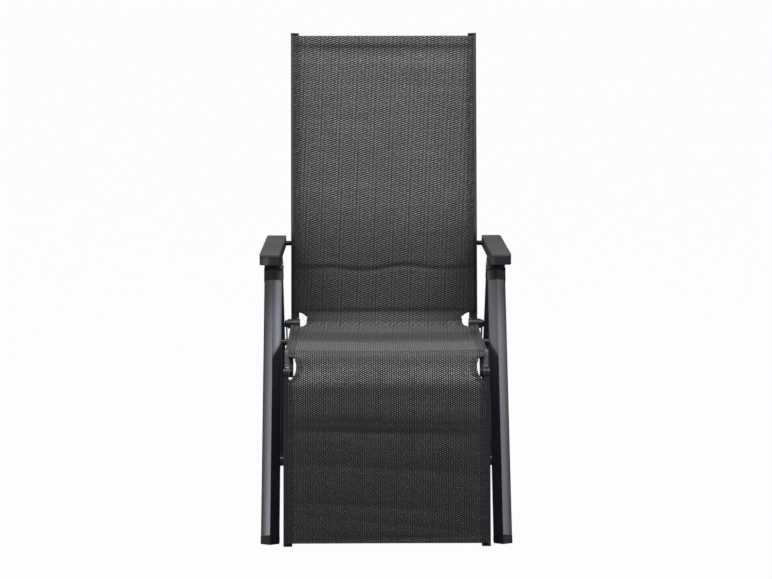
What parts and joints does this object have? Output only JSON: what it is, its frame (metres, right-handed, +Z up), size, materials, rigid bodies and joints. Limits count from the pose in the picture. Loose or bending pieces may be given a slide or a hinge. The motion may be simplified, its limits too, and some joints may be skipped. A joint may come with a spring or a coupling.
{
  "type": "reclining garden armchair",
  "caption": "Folding garden armchair with a high reclining backrest, seat and footrest in one textile sling, crossed faceted legs and level armrests that set the recline.",
  "frame": {"origin": "middle of the bounding box on the floor", "axes": "+X to the right as seen from the front, +Y to the back, +Z up; the footrest faces -Y"},
  "size_m": [0.614, 0.7952, 1.1594],
  "materials": {
    "coated_tube": "satin anthracite powder coat",
    "link_bar": "satin anthracite powder coat on flat bar",
    "black_plastic": "moulded black plastic, fine grain",
    "joint_plastic": "moulded dark grey plastic, fine grain",
    "arm_base": "satin anthracite plastic",
    "arm_pad": "soft-touch matt grey plastic",
    "hem_rod": "extruded dark plastic",
    "steel_pin": "turned steel",
    "dark_pin": "blackened steel",
    "sling_cloth": "dark grey woven textile mesh"
  },
  "bodies": {
    "front_frame": {"front_leg_left": "coated_tube", "front_leg_right": "coated_tube", "front_crossbar": "coated_tube", "front_foot_left": "black_plastic", "front_foot_right": "black_plastic", "front_joint_left": "joint_plastic", "front_joint_right": "joint_plastic", "apex_pins": "steel_pin", "rest_pins": "steel_pin", "seat_pivot_pins": "dark_pin"},
    "rear_frame": {"rear_leg_left": "coated_tube", "rear_leg_right": "coated_tube", "rear_crossbar": "coated_tube", "rear_foot_left": "black_plastic", "rear_foot_right": "black_plastic", "rear_joint_left": "joint_plastic", "rear_joint_right": "joint_plastic", "link_pins": "dark_pin"},
    "seat": {"seat_rail_left": "coated_tube", "seat_rail_right": "coated_tube", "seat_crossbar_front": "coated_tube", "seat_crossbar_rear": "coated_tube", "seat_hinge_knuckles": "joint_plastic", "seat_front_brackets": "joint_plastic", "seat_hem_rods": "hem_rod", "sling_seat": "sling_cloth"},
    "swing_links": {"swing_link_left": "link_bar", "swing_link_right": "link_bar", "link_covers": "black_plastic"},
    "back_hinge": {"back_hinge_pins": "joint_plastic"},
    "backrest": {"back_rail_left": "coated_tube", "back_rail_right": "coated_tube", "back_crossbar_top": "coated_tube", "back_crossbar_low": "coated_tube", "back_hinge_knuckles": "joint_plastic", "back_rail_caps": "black_plastic", "back_hem_rods": "hem_rod", "sling_back": "sling_cloth"},
    "arm_pivots": {"arm_pins": "black_plastic"},
    "armrests": {"armrest_base_left": "arm_base", "armrest_base_right": "arm_base", "armrest_pad_left": "arm_pad", "armrest_pad_right": "arm_pad", "armrest_racks": "black_plastic"},
    "footrest_hinge": {"footrest_hinge_pins": "steel_pin"},
    "footrest": {"footrest_rail_left": "coated_tube", "footrest_rail_right": "coated_tube", "footrest_crossbar_high": "coated_tube", "footrest_crossbar_low": "coated_tube", "footrest_rail_caps": "black_plastic", "footrest_hem_rods": "hem_rod", "footrest_knuckles": "joint_plastic", "sling_footrest": "sling_cloth"}
  },
  "joints": [
    {"name": "fold", "type": "hinge", "parent": "front_frame", "child": "rear_frame", "pos_m": [0, 0.0868, 0.6], "axis": [-1, 0, 0], "range_deg": [0, 52]},
    {"name": "seat_fold", "type": "hinge", "parent": "front_frame", "child": "seat", "pos_m": [0, -0.03096, 0.43153], "axis": [-1, 0, 0], "range_deg": [0, 105]},
    {"name": "link_fold", "type": "hinge", "parent": "rear_frame", "child": "swing_links", "pos_m": [0, 0.22856, 0.3301], "axis": [-1, 0, 0], "range_deg": [0, 179]},
    {"name": "back_fold", "type": "hinge", "parent": "seat", "child": "back_hinge", "pos_m": [0, 0.1838, 0.43], "axis": [1, 0, 0], "range_deg": [0, 78]},
    {"name": "recline", "type": "hinge", "parent": "back_hinge", "child": "backrest", "pos_m": [0, 0.1838, 0.43], "axis": [-1, 0, 0], "range_deg": [0, 28]},
    {"name": "arm_fold", "type": "hinge", "parent": "backrest", "child": "arm_pivots", "pos_m": [0, 0.24387, 0.6296], "axis": [-1, 0, 0], "range_deg": [0, 129]},
    {"name": "arm_level", "type": "hinge", "parent": "arm_pivots", "child": "armrests", "pos_m": [0, 0.24387, 0.6296], "axis": [1, 0, 0], "range_deg": [0, 17]},
    {"name": "footrest_fold", "type": "hinge", "parent": "seat", "child": "footrest_hinge", "pos_m": [0, -0.2852, 0.417], "axis": [1, 0, 0], "range_deg": [0, 90]},
    {"name": "footrest_raise", "type": "hinge", "parent": "footrest_hinge", "child": "footrest", "pos_m": [0, -0.2852, 0.417], "axis": [-1, 0, 0], "range_deg": [0, 75]}
  ],
  "couplings": [
    {"joint": "seat_fold", "follows": "fold", "ratio": 2.019},
    {"joint": "link_fold", "follows": "fold", "ratio": 3.442},
    {"joint": "back_fold", "follows": "fold", "ratio": 1.5},
    {"joint": "arm_fold", "follows": "fold", "ratio": 2.4807},
    {"joint": "footrest_fold", "follows": "fold", "ratio": 1.7307},
    {"joint": "arm_level", "follows": "recline", "ratio": 0.605}
  ]
}
